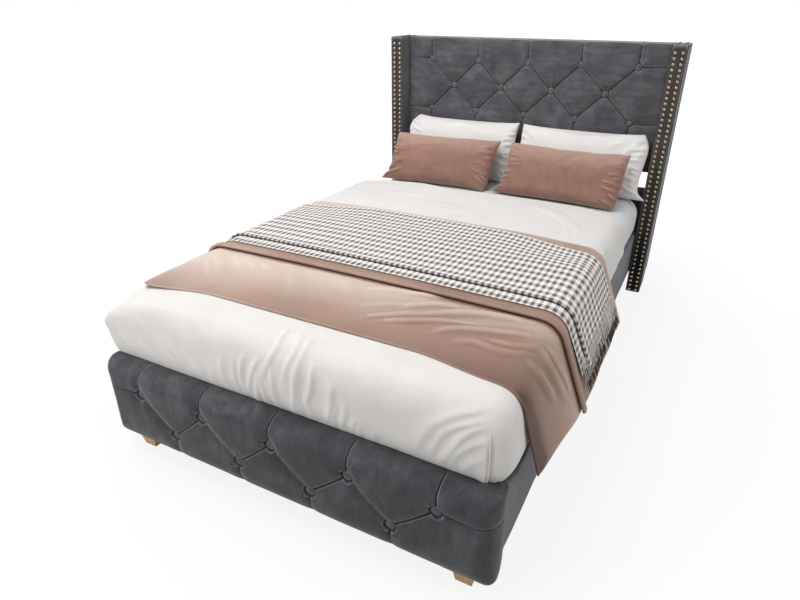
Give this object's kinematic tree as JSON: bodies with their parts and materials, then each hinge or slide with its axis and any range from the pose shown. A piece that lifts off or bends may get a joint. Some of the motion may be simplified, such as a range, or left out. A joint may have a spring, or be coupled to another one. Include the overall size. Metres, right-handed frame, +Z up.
{
  "type": "upholstered bed",
  "caption": "Winged, buttoned upholstered bed with padded footboard, slatted base, mattress, duvet, folded blanket, checked throw, pillows and cushions.",
  "frame": {"origin": "on the floor at the middle of the overall length and width", "axes": "+X across the bed, to the right seen from the foot; +Y along the bed from foot to head; +Z up"},
  "size_m": [1.486, 2.234, 1.177],
  "materials": {
    "upholstery_velvet": "short-pile dark grey velvet",
    "button_velvet": "covered button",
    "plywood": "raw plywood",
    "timber": "raw softwood",
    "leg_oak": "lacquered light oak",
    "slat_birch": "bare birch",
    "nail_brass": "antique brass",
    "zinc_steel": "zinc plated",
    "beam_paint": "black powder coat",
    "black_plastic": "moulded",
    "dust_cloth": "black non-woven",
    "webbing": "woven strap",
    "mattress_ticking": "knitted ticking",
    "sheet_cotton": "pale bluish grey percale",
    "duvet_cotton": "white cotton cover",
    "blanket_wool": "soft brown fleece",
    "throw_gingham": "white and grey-brown check",
    "pillow_cotton": "white cotton pillowcase",
    "cushion_velvet": "mocha velvet"
  },
  "bodies": {
    "frame": {"headboard_board": "plywood", "headboard_pad": "upholstery_velvet", "headboard_buttons": "button_velvet", "headboard_stile_left": "timber", "headboard_stile_right": "timber", "headboard_rail_top": "timber", "headboard_rail_middle": "timber", "headboard_rail_bottom": "timber", "headboard_back_cloth": "dust_cloth", "lower_board": "plywood", "lower_board_cover": "upholstery_velvet", "wing_core_left": "timber", "wing_core_right": "timber", "wing_cover_left": "upholstery_velvet", "wing_cover_right": "upholstery_velvet", "wing_nails_left": "nail_brass", "wing_nails_right": "nail_brass", "wing_glides": "black_plastic", "wing_brackets": "zinc_steel", "wing_bolts": "zinc_steel", "footboard_front_board": "plywood", "footboard_back_board": "plywood", "footboard_ribs": "timber", "footboard_pad": "upholstery_velvet", "footboard_buttons": "button_velvet", "foot_leg_left": "leg_oak", "foot_leg_right": "leg_oak", "leg_bolts": "zinc_steel", "side_rail_left": "timber", "side_rail_right": "timber", "rail_cover_left": "upholstery_velvet", "rail_cover_right": "upholstery_velvet", "corner_brackets": "zinc_steel", "corner_bolts": "zinc_steel", "slat_cleat_left": "timber", "slat_cleat_right": "timber", "cleat_screws": "zinc_steel", "slats": "slat_birch", "slat_webbing": "webbing", "centre_beam": "beam_paint", "beam_hangers": "zinc_steel", "beam_screws": "zinc_steel", "centre_leg_front": "beam_paint", "centre_leg_middle": "beam_paint", "centre_leg_rear": "beam_paint"},
    "foot_front": {"levelling_foot_front": "black_plastic"},
    "foot_middle": {"levelling_foot_middle": "black_plastic"},
    "foot_rear": {"levelling_foot_rear": "black_plastic"},
    "mattress": {"mattress": "mattress_ticking", "fitted_sheet": "sheet_cotton", "duvet": "duvet_cotton", "blanket": "blanket_wool", "throw": "throw_gingham"},
    "pillow_left": {"pillow_left": "pillow_cotton"},
    "pillow_right": {"pillow_right": "pillow_cotton"},
    "cushion_left": {"cushion_left": "cushion_velvet"},
    "cushion_right": {"cushion_right": "cushion_velvet"}
  },
  "joints": [
    {"name": "foot_front_level", "type": "slide", "parent": "frame", "child": "foot_front", "axis": [0, 0, 1], "range_m": [0, 0.015]},
    {"name": "foot_middle_level", "type": "slide", "parent": "frame", "child": "foot_middle", "axis": [0, 0, 1], "range_m": [0, 0.015]},
    {"name": "foot_rear_level", "type": "slide", "parent": "frame", "child": "foot_rear", "axis": [0, 0, 1], "range_m": [0, 0.015]},
    {"name": "mattress_lift", "type": "slide", "parent": "frame", "child": "mattress", "axis": [0, 0, 1], "range_m": [0, 0.35]},
    {"name": "pillow_left_lift", "type": "slide", "parent": "mattress", "child": "pillow_left", "axis": [0, 0, 1], "range_m": [0, 0.2]},
    {"name": "pillow_right_lift", "type": "slide", "parent": "mattress", "child": "pillow_right", "axis": [0, 0, 1], "range_m": [0, 0.2]},
    {"name": "cushion_left_lift", "type": "slide", "parent": "pillow_left", "child": "cushion_left", "axis": [0, -0.6, 0.8], "range_m": [0, 0.2]},
    {"name": "cushion_right_lift", "type": "slide", "parent": "pillow_right", "child": "cushion_right", "axis": [0, -0.6, 0.8], "range_m": [0, 0.2]}
  ]
}
